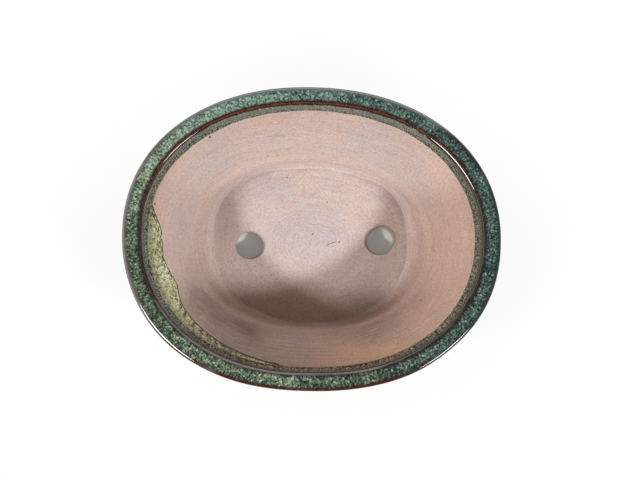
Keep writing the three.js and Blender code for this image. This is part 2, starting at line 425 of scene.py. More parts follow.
def clayColour():
    looks = clayLooks
    place = placeOf()
    x, y, z = axesOf(place)
    space = markOf("claySpace", "Vector")
    line = markOf("clayLine")
    broad, streak = (noiseOf(vectorOf("MULTIPLY", space, (1, 1, squeeze)), *lump)
                     for squeeze, *lump in (looks["broad"], looks["streak"]))
    onFloor = zoneOf(added(line, centred(broad, 12.0)), looks["onFloor"])
    # Warmer to the right and near the rim; towards the front the warmth is painted warm shade.
    warmSideAndShade = zoneOf(towards(place, 1, -0.75, within(broad, 0.05)), looks["warmSideAndShade"])
    warmthAndShade = largest(within(warmSideAndShade, 0.85), within(zoneOf(z, looks["nearRim"]), 0.5))
    warmthAndShade = within(warmthAndShade, spread(onFloor, 0, 1, 1, 0.35))
    bloom = within(mathOf("SUBTRACT", 1.0, warmthAndShade), spread(broad, 0.42, 0.66, 0, 0.55))
    patchy = spread(streak, 0.3, 0.6, 0.5, 1)
    bloom = largest(bloom, cloudsOf(place, looks["clouds"], patchy))
    # Clouds of painted shade lie low in front, where the lamps' shadow falls.
    paintedShade = cloudsOf(place, looks["paintedShadeClouds"], patchy)
    # The floor fired paler than the wall, and painted light makes the wall palest at both ends and in front.
    ends = zoneOf(mathOf("ABSOLUTE", x, 0), looks["ends"])
    offCorner = largest(*(zoneOf(way, zone) for way, zone in zip((x, y), looks["offCorner"])))
    paintedFill = within(largest(ends, zoneOf(y, looks["front"])), offCorner, spread(onFloor, 1, 0))
    paintedFillTint = mixColours(zoneOf(y, looks["frontHigh"]), looks["paintedFill"], looks["paintedFrontFill"])
    colour = layered(looks["body"], (warmthAndShade, looks["warmAndShade"]), (within(bloom, 0.8), looks["bloom"]),
                     (within(paintedShade, 0.75), looks["paintedShade"]), (spread(streak, 0.5, 0.8, 0, 0.4), looks["pale"]),
                     (spread(streak, 0.5, 0.25, 0, 0.35), looks["lineDark"]))
    colour = mixColours(paintedFill, colour, paintedFillTint, "MULTIPLY")
    # Painted shade in the creases and deep corners where the wall meets the floor
    ways = {"along": line, "across": x, "back": y}
    shadePatches = [(within(*(zoneOf(ways[way], zone) for way, zone in patch.items())), factors)
               for factors, patch in looks["shadePatches"]]
    ring = within(zoneOf(line, looks["ringZone"]), spread(broad, 0.35, 0.65, 0.15, 0.5))
    # Throwing lines follow the oval: they read the distance along the clay.
    linePlace = addNode("CombineXYZ", None, {0: line, 1: within(noiseOf(place, 40, 1), 3.0)}).outputs[0]
    inputs = {"Vector": linePlace, "Scale": looks["lineScale"], "Detail": 4.0, "Roughness": 0.7}
    lines = addNode("TexNoise", {"noise_dimensions": "2D"}, inputs).outputs["Fac"]
    grain = noiseOf(place, 1.1, 3, 0.8)
    spots = addNode("TexVoronoi", None, {"Vector": place, "Scale": looks["speckScale"]}).outputs
    rare = addNode("SeparateColor", None, {0: spots["Color"]}).outputs["Red"]
    speck = mathOf("LESS_THAN", spots["Distance"], spread(rare, 0.86, 1.0, 0.0, 0.05))
    colour = layered(colour, (onFloor, looks["floor"]), *shadePatches, (ring, looks["ring"]),
                     (spread(lines, 0.52, 0.8, 0, 0.35), looks["lineDark"]),
                     (spread(grain, 0.38, 0.7, 0.0, 0.8), looks["dusty"]),
                     (within(speck, 0.75), looks["speck"]))
    return colour, lines, grain


def makeBareClay():
    finish, shader = newFinish("bareClay")
    colour, lines, grain = clayColour()
    setInputs(shader, {
        "Base Color": colour,
        "Roughness": spread(grain, 0.3, 0.7, 0.78, 0.9),
        "Normal": bumpOf(grain, 0.14, 0.7, bumpOf(lines, 0.25, 0.4)),
        "Specular IOR Level": 0.25,
    })
    return finish


# Green glaze: mottled, red-brown where it thins over an edge, dark where it pools, with painted shade and
# reflections
glazeLooks = {
    "stops": (
        (0.1, (22, 32, 32)), (0.34, (54, 70, 66)), (0.5, (90, 109, 101)), (0.66, (130, 150, 136)),
        (0.86, (178, 194, 172)),
    ),
    "bandStops": (
        (0.24, (30, 34, 30)), (0.42, (72, 79, 70)), (0.58, (106, 112, 99)), (0.78, (156, 160, 141)),
    ),
    "cell": 1.5,  # millimetres across a light cell of the mottle
    "tealTint": (0.84, 1.0, 1.07, 1),
    "warmTint": (1.1, 1.04, 0.86, 1),
    "band": (1, 1, 1, 1),  # the band inside the ridge at both ends
    "backBand": (0.68, 0.8, 0.82, 1),  # is greener at the back
    "frontBand": (1.5, 1.18, 1.02, 1),  # and browner in front
    "slope": (112, 122, 126),  # painted grey-blue reflection on the even sloping edge at the back
    "slopePlumReflection": (104, 92, 98),  # plum-grey at the left, part glaze and part painted reflection
    "slopeDark": (40, 50, 49),  # at the right
    "slopeRed": (54, 15, 9),  # and in front
    "rust": ((0.1, (34, 18, 14)), (0.4, (78, 37, 26)), (0.62, (114, 60, 38)), (0.9, (76, 30, 24))),
    "plum": ((0.1, (32, 24, 25)), (0.4, (62, 45, 45)), (0.62, (98, 74, 73)), (0.9, (62, 43, 44))),
    "poolAndShadeBlack": (14, 17, 18),
    "poolAndShadePurple": (38, 28, 27),
    "poolAndShadeWidth": {"right": 4.2, "front": 3.6, "left": 2.5, "back": 0.05},  # millimetres
    "paintedReflection": (146, 136, 142),  # painted pale reflection along the front of the ridge
    "ridgeBack": (-0.15, 1.35),  # where it breaks on the ridge, millimetres in from the crest, at the back
    "ridge": (0.05, 1.1),  # and elsewhere
    "thinEnd": (128, 114, 90),  # thin glass over clay where the coat ends
    "thinPale": (152, 142, 124),  # and beside the run
    "brokenEnd": (150, 128, 108),
    "shine": (0.9, 2.2, 0.5, 0.2),  # the thin band inside the ridge is duller than the rest
    # so much of across and of back, and in metres where that side sets in and is full
    "sides": {
        "front": (0, 1, -0.03, -0.078),
        "back": (0, 1, 0.03, 0.068),
        "left": (1, 0, -0.05, -0.09),
        "right": (1, -0.3, 0.03, 0.08),
        "teal": (0.55, 0.8, -0.03, 0.05),
    },
    # zones on the ridge, in millimetres past where it starts and beyond where it ends
    "onRidge": ((-0.1, 0.15), (0.05, -0.2)),
    "ridgeMiddle": ((0.0, 0.6), (-0.1, -0.7)),
    "paintedReflectionLine": ((0.0, 0.35), (-0.1, -0.4)),
    "poolOut": (-0.9, -0.2, 0.0, 0.25),  # past its start only
}


# The mottle: light cells with dark gaps, drawn out where the glaze flowed.
def mottleOf(space):
    warped = wobbled(space, 3, 1.1)
    gaps = addNode("TexVoronoi", {"feature": "DISTANCE_TO_EDGE"},
                   {"Vector": warped, "Scale": 1000 / glazeLooks["cell"]}).outputs["Distance"]
    flecks = centred(noiseOf(warped, 1.2, 3, 0.7, 0.4), 1.8)
    return added(spread(gaps, 0.0, 0.3, -0.15, 0.06), flecks, waverOf(space, 9, 0.35), 0.53)


def glazeColour():
    looks = glazeLooks
    space = markOf("glazeSpace", "Vector")
    line, edge, rest = (markOf(name) for name in ("glazeLine", "edgeLine", "coatEdge"))
    place = placeOf()
    wander = waverOf(place, 24, 0.16)
    front, back, left, right, teal = (spread(towards(place, across, behind, wander), none, full)
                                      for across, behind, none, full in looks["sides"].values())
    # It is lightest at the back left, and darker at its outer edge, both ends and most at the front right.
    backLeft = spread(towards(place, -0.7, 1), 0.045, 0.11, 0, 0.21)
    outer = spread(edge, 1.0, 4.5, -0.07, 0.0)
    ends = within(largest(right, left), -0.07)
    value = added(mottleOf(space), backLeft, outer, ends, within(right, front, -0.1))
    # The back and right run to teal, the left and front to yellow-green.
    colour = tinted(rampOf(value, looks["stops"]), mixColours(teal, looks["warmTint"], looks["tealTint"]))
    # Inside the ridge it is a thinner, finer band.
    fine = noiseOf(space, 1.0, 3, 0.75)
    bandTint = mixColours(front, mixColours(back, looks["band"], looks["backBand"]), looks["frontBand"])
    band = tinted(rampOf(added(centred(fine, 2.7), 0.5), looks["bandStops"]), bandTint)
    thinEnd = layered(looks["thinEnd"], (left, looks["thinPale"]), (spread(fine, 0.35, 0.6, 0.55, 0), band))
    toEnd = added(rest, waverOf(space, 1.1, 1.5, 3, 0.7))
    offBack = spread(largest(right, left, front), 0, 1, 0.1, 1)
    band = mixColours(within(spread(toEnd, 0.4, 2.0, 0.9, 0), offBack), band, thinEnd)
    near = waverOf(space, 0.9, 0.35, 2, 0.6)
    crest = added(line, near)
    past, beyond = (mathOf("SUBTRACT", crest, spread(back, 0, 1, other, atBack))
                    for other, atBack in zip(looks["ridge"], looks["ridgeBack"]))
    # Dark glass pools outside the ridge; inside it, pooled glass and painted shade: black at the right, else
    # purple.
    poolOut = within(zoneOf(past, looks["poolOut"]), 0.5)
    width = looks["poolAndShadeWidth"]
    deep = largest(spread(right, 0, 1, width["back"], width["right"]),
                   within(front, width["front"]), within(left, width["left"]))
    reach = added(mathOf("DIVIDE", beyond, deep), centred(fine, 0.9))
    poolAndShadeIn = within(spread(beyond, -0.3, 0.0), spread(reach, 1.25, 0.55), 0.88)
    poolAndShadeTone = mixColours(largest(front, left), looks["poolAndShadeBlack"], looks["poolAndShadePurple"])
    # It breaks to red-brown on the ridge at the back, to plum elsewhere, with a painted pale reflection in
    # front.
    onRidge, middle, clear = (within(spread(past, *zone[0]), spread(beyond, *zone[1]))
                              for zone in (looks[key] for key in ("onRidge", "ridgeMiddle", "paintedReflectionLine")))
    broken = added(within(middle, 0.5), waverOf(space, 1.3, 1.5, 3, 0.7), 0.05)
    breaking = mixColours(back, rampOf(broken, looks["plum"]), rampOf(broken, looks["rust"]))
    # The sloping outer edge is smooth, and the very edge inside is broken up over the clay.
    # At the back and left its colour is painted reflection of the pale surroundings.
    onSlope = within(spread(edge, -1.2, -0.2), spread(added(edge, near), 2.0, 0.8), 0.92)
    slope = layered(looks["slope"], (left, looks["slopePlumReflection"]), (right, looks["slopeDark"]),
                    (front, looks["slopeRed"]))
    colour = layered(colour, (spread(beyond, 0.0, 0.3), band), (poolOut, looks["poolAndShadeBlack"]), (poolAndShadeIn, poolAndShadeTone),
                     (onRidge, breaking), (within(front, clear, 0.85), looks["paintedReflection"]), (onSlope, slope),
                     (spread(toEnd, 0.0, 0.4, 0.6, 0), looks["brokenEnd"]))
    return colour, value, space, spread(beyond, *looks["shine"])


def makeGreenGlaze(name, bareFoot=False):
    finish, shader = newFinish(name)
    colour, value, space, shine = glazeColour()
    slick = spread(value, 0.2, 0.8, 0.04, 0.1)
    if bareFoot:
        # The feet are bare clay up to about 0.7 mm, with a ragged edge.
        place = placeOf()
        height = added(axesOf(place)[2], within(noiseOf(place, 4, 2), 0.0006))
        bare = spread(height, 0.00115, 0.0009)
        colour = mixColours(bare, colour, clayColour()[0])
        slick = largest(slick, within(bare, 0.85))
    setInputs(shader, {
        "Base Color": colour,
        "Roughness": slick,
        "Normal": bumpOf(noiseOf(space, 6, 1), 0.04, 0.25),
        "Specular IOR Level": shine,
        "IOR": 1.65,
    })
    return finish


# Thick yellow-green run: wavy dark strokes, notches and a painted shadow along its lower edge, flecks above
# them
runLooks = {
    "stops": (
        (0.2, (88, 100, 62)), (0.38, (144, 152, 98)), (0.55, (186, 193, 137)), (0.72, (212, 218, 172)),
        (0.95, (228, 234, 208)),
    ),
    "upper": (168, 158, 134),  # beige towards the lip
    "stroke": (34, 36, 20),
    "pitch": 4.2,  # millimetres between the slanting strokes
    "fleck": (66, 80, 50),
    # painted shadow of its thick lower edge on the wall
    "outline": (30, 18, 12),
    "pale": (-83.5, -21.5, 41, 9),  # middle and size of its palest patch
    "squeeze": 0.4,  # how its pattern is drawn out down the wall
}


def makeYellowGlaze():
    finish, shader = newFinish("yellowGlaze")
    looks = runLooks
    space = markOf("glazeSpace", "Vector")
    edge = markOf("runEdge")
    place = placeOf()
    down = within(axesOf(space)[2], 1000 / looks["squeeze"])
    even = vectorOf("MULTIPLY", space, (1, 1, 1 / looks["squeeze"]))
    broad = noiseOf(space, 6, 3, 0.6)
    fine = noiseOf(even, 1.5, 3, 0.7)
    *middle, size = looks["pale"]
    pale = spread(awayFrom(place, *middle), 0.2 * size / 1000, size / 1000, 0.2, 0)
    farFront = spread(axesOf(place)[1], -0.06, -0.035, -0.2, 0)
    value = added(centred(broad, 0.6), centred(fine, 1.4), pale, farFront, 0.62)
    flecks = within(spread(noiseOf(even, 1.4, 3, 0.75, 0.6), 0.5, 0.6), spread(edge, 1.5, 6.0, 0.25, 0.85))
    # Contour lines of a warped noise make wavy strokes, which fade out away from the lower edge.
    swirl = noiseOf(vectorOf("MULTIPLY", wobbled(even, 5, 2.0), (1, 1, 0.7)), 6.5)
    steps = mathOf("PINGPONG", within(swirl, 6.5), 0.5)
    wavy = within(spread(steps, 0.17, 0.06), spread(noiseOf(even, 3.2), 0.42, 0.5),
                  spread(edge, 4.0, 8.0, 1, 0.25))
    # Slanting strokes part its lower edge into lozenges.
    slant = added(within(towards(place, -0.6, 0.8), 1000 / looks["pitch"]),
                  within(down, -0.16), waverOf(even, 4.5, 2.2))
    slanting = within(spread(mathOf("PINGPONG", slant, 0.5), 0.17, 0.07),
                      spread(edge, 7.5, 3.5), spread(noiseOf(even, 4, 1), 0.34, 0.44))
    strokes = largest(wavy, slanting)
    # Its dark outline along the lower edge is painted shadow of the thick glass on the wall.
    notched = added(edge, waverOf(even, 2.2, 5.0, 3, 0.7))
    outline = largest(spread(edge, 1.9, 1.4), spread(notched, 1.5, 1.0))
    colour = layered(rampOf(value, looks["stops"]), (spread(down, 0.5, 3.2, 0.75, 0), looks["upper"]),
                     (flecks, looks["fleck"]), (within(strokes, 0.9), looks["stroke"]),
                     (within(outline, 0.92), looks["outline"]))
    setInputs(shader, {
        "Base Color": colour,
        "Roughness": spread(fine, 0.3, 0.7, 0.1, 0.2),
        "Normal": bumpOf(strokes, -0.08, 0.6, bumpOf(broad, 0.5, 0.4)),
        "IOR": 1.6,
    })
    return finish


# Iron specks and pale grit: size of their lumps, colours and range of roughness
grainLooks = {
    "ironSpot": (0.4, ((0.35, (38, 22, 18)), (0.65, (96, 58, 44))), (0.5, 0.8)),
    "paleGrit": (0.3, ((0.3, (214, 200, 186)), (0.7, (240, 232, 222))), (0.6, 0.9)),
}


def makeGrainFinish(name):
    finish, shader = newFinish(name)
    lump, stops, rough = grainLooks[name]
    place = placeOf()
    setInputs(shader, {
        "Base Color": rampOf(noiseOf(place, lump, 3), stops),
        "Roughness": spread(noiseOf(place, 0.3), 0.3, 0.7, *rough),
    })
    return finish


bareClay = makeBareClay()
greenGlaze = makeGreenGlaze("greenGlaze")
footGlaze = makeGreenGlaze("footGlaze", bareFoot=True)
yellowGlaze = makeYellowGlaze()
ironSpot = makeGrainFinish("ironSpot")
paleGrit = makeGrainFinish("paleGrit")
print("finishes ready")


# Floor slab: crowned, with a finger groove along its edge and two drainage holes cut by hand
floorSlab = {
    "turnSteps": 384,
    "ringSteps": 130,
    # round the pot: depth of the groove along the floor's edge, and how far it pushes that edge out
    "groove": (
        (0, 0.5), (20, 0.8), (48, 0.8), (64, 0.15), (105, 0.2), (120, 1.2), (150, 1.8), (168, 1.5),
        (185, 0.5), (230, 0.3), (360, 0.5),
    ),
    "grooveShift": (
        (0, 0.5), (15, 1.2), (28, 3.0), (48, 2.8), (62, 0.3), (104, 0), (118, 1.4), (130, 2.4), (158, 2.2),
        (180, 0.4), (220, 0), (330, 0), (360, 0.8),
    ),
    "grooveStart": 0.72,  # share of the way out
    "grooveCurve": 1.3,
    "ripple": 0.014,
    "rippleCount": 55 / 3.7,  # finger rings between the middle and the edge
    "unevenness": 0.12,
    "holes": ((-35.5, -1.1, 7.8), (40.8, 3.4, 7.8)),  # middle and radius
    "holeRound": 1.0,
    "holeArc": 66,  # degrees that the rounding of a hole's edge takes up
    "holeFlare": 0.9,  # how much wider the holes are below
    "holeBottom": 3.0,
    "holeSteps": 96,
    "knifeCut": (42.9, 5.5, 6.8, 2.2),  # middle, radius and depth of the second cut
    "knifeRound": 1.6,
    # each ring of the underside: share of the way out, and what the throwing lines read there
    "under": ((0.05, 220), (0.2, 240), (0.4, 260), (0.6, 280), (0.8, 290), (0.93, 296)),
    "sideLine": 300,
    "underLumps": 0.06,
    "creaseAngle": 38,
}


def floorTop(share, turns, points):
    looks = floorSlab
    waves = 2 * np.pi * share * looks["rippleCount"] + turns + 3 * lumps(points, 24, 4)
    ripple = looks["ripple"] * np.sin(waves) * (0.6 + 1.2 * lumps(points, 30, 3))
    ripple = ripple * smoothStep(share, 0.02, 0.3) * smoothStep(share, 1.0, 0.95)
    fall = readRound(looks["groove"], turns)
    fall = fall * smoothStep(share, looks["grooveStart"], 1.0) ** looks["grooveCurve"]
    wave = looks["unevenness"] * lumps(points, 22, 5) * smoothStep(share, 1.0, 0.9)
    return pot["floorZ"] + pot["floorCrown"] * (1 - share**2) + ripple + wave - fall


# A knife's path round a hole, widening towards the top like a rounded edge.
def holeCutter(x, y, radius, bottom, roundOff, seed):
    looks = floorSlab
    rise = 3  # how far it runs on above the floor
    top = pot["floorZ"] + pot["floorCrown"] * (1 - (x / floorHalfX) ** 2)
    profile = [(radius, bottom), (radius + 0.05, (bottom + top) / 2)]
    for a in np.linspace(0, math.radians(looks["holeArc"]), 9):
        profile.append((radius + 0.1 + roundOff * (1 - math.cos(a)), top - roundOff + roundOff * math.sin(a)))
    lastRadius, lastZ = profile[-1]
    profile.append((lastRadius + rise / math.tan(math.radians(90 - looks["holeArc"])), lastZ + rise))
    if bottom < pot["footHeight"]:
        profile[:1] = [(radius + looks["holeFlare"], bottom), (radius, pot["footHeight"] + 0.5)]
    turns = roundTurns(looks["holeSteps"])
    wobble = 1 + 0.012 * np.sin(2 * turns + seed) + 0.01 * np.sin(3 * turns + 2 * seed)
    wobble = wobble + 0.004 * np.sin(7 * turns)
    loops = [np.stack([x + r * wobble * np.cos(turns), y + r * wobble * np.sin(turns), z + 0 * turns], -1)
             for r, z in profile]
    return buildPiece("holeCutter", np.array(loops) / 1000, bareClay)


# The piece with the cutters' shapes taken out of it
def cutAway(piece, cutters):
    for cutter in cutters:
        cut = piece.modifiers.new("cut", "BOOLEAN")
        cut.operation = "DIFFERENCE"
        cut.solver = "EXACT"
        cut.object = cutter
    graph = bpy.context.evaluated_depsgraph_get()
    cutMesh = bpy.data.meshes.new_from_object(piece.evaluated_get(graph))
    piece.modifiers.clear()
    piece.data = cutMesh
    for cutter in cutters:
        bpy.data.objects.remove(cutter)


def makeFloor():
    looks = floorSlab
    turns = roundTurns(looks["turnSteps"])
    footHeight = pot["footHeight"]
    slabFoot = (pot["slabEdge"][0] + 0.6, footHeight)
    rounded = (42.95, 4.3)  # where the rounding of its lower edge ends
    side = joinStretches(straight(3, 1.5, (46, footHeight), slabFoot),
                         bend(5, 1.5, slabFoot, (-0.4, 0), (0.25, -0.25), rounded),
                         straight(8, 1.5, rounded, pot["slabTop"]))
    outside = carryRound(side, 0, turns)
    under, readings = zip(*looks["under"])
    under = np.array([outside[0] * [share, share, 0] + [0, 0, footHeight / 1000] for share in under])
    under[..., 2] += looks["underLumps"] / 1000 * lumps(under, 14, 9)
    shares = 1 - np.linspace(0, 0.99, looks["ringSteps"])
    shift = readRound(looks["grooveShift"], turns)
    halfX, halfY = floorHalfX + shift, floorHalfY + shift
    rings = np.array([ovalPoints(halfX * share, halfY * share, 0.0, turns) for share in shares])
    rings[..., 2] = floorTop(shares[:, None], turns[None, :], rings) / 1000
    loops = np.concatenate([under, outside, rings])
    along = np.concatenate([readings, looks["sideLine"] + side["far"], shares * floorHalfX])
    marks = {"clayLine": np.repeat(along[:, None], len(turns), 1), "claySpace": loops * [1, 2.4, 0]}
    slab = buildPiece("floorSlab", loops, bareClay, marks=marks)
    cutters = [holeCutter(*hole, looks["holeBottom"], looks["holeRound"], i + 1)
               for i, hole in enumerate(looks["holes"])]
    *knife, depth = looks["knifeCut"]
    cutters.append(holeCutter(*knife, pot["floorZ"] + 1 - depth, looks["knifeRound"], 4))
    cutAway(slab, cutters)
    standFor(slab, "base_slab", looks["creaseAngle"])
    return slab


slab = makeFloor()
print("floor slab ready")

# Wall: thrown, so its inside carries a spiral of shallow finger lines
wall = {
    "turnSteps": 512,
    "coveSteps": 60,
    "ripple": 0.09,
    "ripplePitch": 3.3,
    "waver": 0.16,
    "smoothTop": (6, 11),  # millimetres down the inside between which the finger lines set in
    "smoothFoot": 2.5,  # and how far above the floor they end
    "creaseAngle": 50,
    "outsideLine": 150,  # what the throwing lines read where the outside starts
    "sharpShift": 7,  # shift of the floor's edge, in millimetres, at which the cove has no curve left
    "readRow": 40,  # the row of the inside at which the clay's unevenness is read round the pot
}
bellyPull = wallHeight * 0.33
slabLean = (pot["slabEdge"][0] - pot["slabTop"][0]) / (pot["floorZ"] - pot["footHeight"])


def outsideOfWall(steps):
    return bend(steps, 1.5, pot["slabTop"], (-bellyPull * slabLean, bellyPull), (3, -bellyPull), pot["neck"])


def bandOfWall(steps):
    fall = np.array(pot["coveTop"]) - pot["bandEnd"]
    return bend(steps, 4, pot["innerSeam"], (0.5, -1.12), -0.04 * fall, pot["bandEnd"])


def makeWall():
    turns = roundTurns(wall["turnSteps"])
    cove = bend(wall["coveSteps"], 4, pot["coveTop"], (3.92, -4), (-3.92, 0.5), pot["floorEdge"])
    inside = joinStretches(bandOfWall(6), straight(90, 4, pot["bandEnd"], pot["coveTop"]), cove)
    far = inside["far"][:, None]
    total = far[-1, 0]
    smooth = carryRound(inside, 0, turns)
    thrown = smoothStep(far, *wall["smoothTop"]) * smoothStep(far, total, total - wall["smoothFoot"])
    ripple = wall["ripple"] * np.sin(2 * np.pi * far / wall["ripplePitch"] + turns[None, :])
    lift = thrown * (ripple * (0.7 + 0.9 * lumps(smooth, 28, 2)) + wall["waver"] * lumps(smooth, 26, 7))
    # Where the groove pushes the floor's edge out, the wall comes straight down to it.
    coveFar = inside["far"][-1 - wall["coveSteps"]]
    down = np.clip((far - coveFar) / (total - coveFar), 0, 1)
    shift, depth = (readRound(floorSlab[key], turns) for key in ("grooveShift", "groove"))
    sharp = np.clip(shift / wall["sharpShift"], 0, 1) * (down > 0)
    moved = []
    for k, (curved, push) in enumerate(zip(lifted(inside, lift), (-shift, -depth))):
        top, foot = pot["coveTop"][k], pot["floorEdge"][k]
        straightDown = top + (foot + push - top) * down + inside["off"][:, k:k + 1] * lift
        bent = curved + push * smoothStep(down, 0, 1)
        moved.append(bent + (straightDown - bent) * sharp)
    outside = joinStretches(outsideOfWall(24))
    innerLoops = potPoints(*moved, inside["power"][:, None], turns)
    loops = np.concatenate([carryRound(outside, 0, turns), innerLoops])
    along = np.concatenate([wall["outsideLine"] + outside["far"], floorHalfX + total - inside["far"]])
    space = np.repeat(smooth[wall["readRow"]][None], len(loops), 0)
    space[..., 2] = along[:, None] / 1000
    marks = {"clayLine": np.repeat(along[:, None], len(turns), 1), "claySpace": space}
    piece = buildPiece("thrownWall", loops, bareClay, joined=True, marks=marks)
    standFor(piece, "body_wall", wall["creaseAngle"])
    return piece


wallPiece = makeWall()
print("wall ready")

# Glaze coat over the outside, the lip and the band inside it
coat = {
    "turnSteps": 512,
    "thickness": 1.2,
    "bandThickness": 0.42,  # where it ends on the inside
    "sunk": 0.12,  # how far its edges go under the clay's surface
    "buried": 0.4,  # and its hidden side
    "hiddenStep": 6,  # rows of the line for each row of the hidden side
    "skirt": 0.9,  # millimetres from the line's start to the lower edge
    "skirtWave": 0.55,
    "bandTrim": (
        (0, 0.2), (45, 1.8), (90, 2.8), (135, 1.4), (180, 0.6), (225, 0.6), (270, 0.8), (315, 0.3),
        (360, 0.2),
    ),
    "bandWave": 0.3,
    "curtain": 0.13,  # depth of the runs down the wall
    "bead": 0.4,  # roll of glass above the lower edge
    "beadPlace": (1.7, 1.2),  # how far above the edge it lies, and its breadth
}


# Its line, and the row where each stretch ends: "under" at the lip's widest, "flat" at its crest
def glazedLine():
    form = pot
    lipHeight = form["lipCrest"][1] - form["seamZ"]
    start = np.array(form["slabEdge"]) + (np.array(form["slabTop"]) - form["slabEdge"]) * 0.2
    stretches = {
        "skirt": straight(10, 1.5, start, form["slabTop"]),
        "wall": outsideOfWall(56),
        "neck": bend(9, 1.5, form["neck"], (-0.48, 2.07), (0.96, -0.69), form["lipUnder"]),
        "under": bend(12, 1.5, form["lipUnder"], (-0.96, 0.62), (0, -1.8), form["lipWidest"]),
        "slope": bend(26, 1.5, form["lipWidest"], (0, 0.1), (-0.6, 0), form["lipFlat"]),
        "flat": bend(22, 4, form["lipFlat"], (1.9, 0), (-1.0, 0), form["lipCrest"]),
        "shoulder": bend(14, 4, form["lipCrest"], (0.2, 0), (-0.35, 0.27), form["shoulder"]),
        "fall": bend(30, 4, form["shoulder"], (0.2, -0.16), (-0.9, 0.4 * lipHeight), form["innerSeam"]),
        "band": bandOfWall(16),
    }
    ends = np.cumsum([len(part[0]) - 1 for part in stretches.values()])
    return joinStretches(*stretches.values()), dict(zip(stretches, ends))


# Where the glaze's pattern is read: round the lip, and up the section, drawn out down the wall
def glazeSpaceOf(line, ring, widestFar):
    far = line["far"]
    rate = 0.3 + 0.55 * smoothStep(far, widestFar - 10, widestFar + 1)
    up = np.concatenate([[0], np.cumsum(np.diff(far) * (rate[1:] + rate[:-1]) / 2)]) / 1000
    space = np.repeat(ring[None], len(far), 0)
    space[..., 2] = up[:, None]
    return space


def makeCoat():
    turns = roundTurns(coat["turnSteps"])
    line, ends = glazedLine()
    far = line["far"][:, None]
    crestFar, widestFar, total = line["far"][ends["flat"]], line["far"][ends["under"]], line["far"][-1]
    ring = carryRound(line, 0, turns)[ends["flat"]]
    wave = coat["bandWave"] * (lumps(ring, 6, 11) + 0.5 * lumps(ring, 2.2, 12))
    lowEdge = coat["skirt"] + coat["skirtWave"] * (lumps(ring, 17, 13) + 0.4 * lumps(ring, 5, 14))
    highEdge = total + 0.9 - readRound(coat["bandTrim"], turns) + wave
    there = smoothStep(far, lowEdge - 0.1, lowEdge + 0.9) * smoothStep(far, highEdge, highEdge - 1.1)
    thinning = (coat["thickness"] - coat["bandThickness"]) * smoothStep(far, crestFar + 0.8, total - 1.5)
    onWall = smoothStep(far, widestFar - 5, widestFar - 12)
    space = glazeSpaceOf(line, ring, widestFar)
    flow = coat["curtain"] * (lumps(space, 9, 21) + 0.5 * lumps(space, 4, 22)) * (0.25 + 0.75 * onWall)
    above, breadth = coat["beadPlace"]
    bead = coat["bead"] * np.exp(-(((far - lowEdge - above) / breadth) ** 2))
    bead = bead * (0.7 + 0.5 * lumps(ring, 9, 23))
    belowLip = 1 - 0.999 * smoothStep(far, widestFar - 3, widestFar - 1)
    curtain = np.maximum(flow, -0.3) * np.maximum(onWall, 0.15) * belowLip
    lift = there * (coat["thickness"] - thinning + curtain + bead) - coat["sunk"] * (1 - there)
    step = coat["hiddenStep"]
    hidden = {key: values[::-step] for key, values in line.items()}
    loops = np.concatenate([carryRound(line, lift, turns), carryRound(hidden, -coat["buried"], turns)])
    readings = {
        "coatEdge": np.minimum(far - lowEdge, highEdge - far),
        "glazeSpace": space,
        "glazeLine": np.repeat(far - crestFar, len(turns), 1),
        "edgeLine": np.repeat(far - widestFar, len(turns), 1),
    }
    marks = {name: np.concatenate([values, values[::-step]]) for name, values in readings.items()}
    piece = buildPiece("glazeCoat", loops, greenGlaze, joined=True, marks=marks)
    standFor(piece, "glaze_coat")


makeCoat()
print("glaze coat ready")

# Run of thick glaze on the inside wall
run = {
    # its lower edge, as (degrees round the pot, millimetres down the wall)
    "edge": (
        (165.5, -0.5), (167.8, 0.2), (171.5, 4.7), (175.4, 9.1), (179.2, 11.4), (180.2, 9.6), (181.7, 11.9),
        (185.8, 11.7), (189.1, 11.4), (193.1, 12.6), (196.9, 14.1), (200.9, 15.1), (205.0, 15.4),
        (208.0, 13.2), (210.9, 11.3), (216.2, 9.1), (220.8, 8.0), (226.2, 6.7), (231.7, 5.9), (237.7, 5.0),
        (244.4, 3.9), (250.5, 3.0), (255.1, 2.2), (259.7, 1.6), (264.0, -0.4),
    ),
    "alongSteps": 460,
    "acrossSteps": 34,
    "top": -1.6,
    "overlap": 0.08,  # how far its line starts above the band's end, as a share of the wall below
    "thickness": (
        (165.5, 0.3), (171.5, 0.7), (180, 1.2), (200, 1.4), (210, 1.3), (225, 1.0), (240, 0.8), (264, 0.3),
    ),
    "round": 1.5,  # millimetres over which its edge swells
    "fadeTop": 3.0,
    "sunk": 0.1,
    "buried": 0.35,
    "lump": 0.16,
}


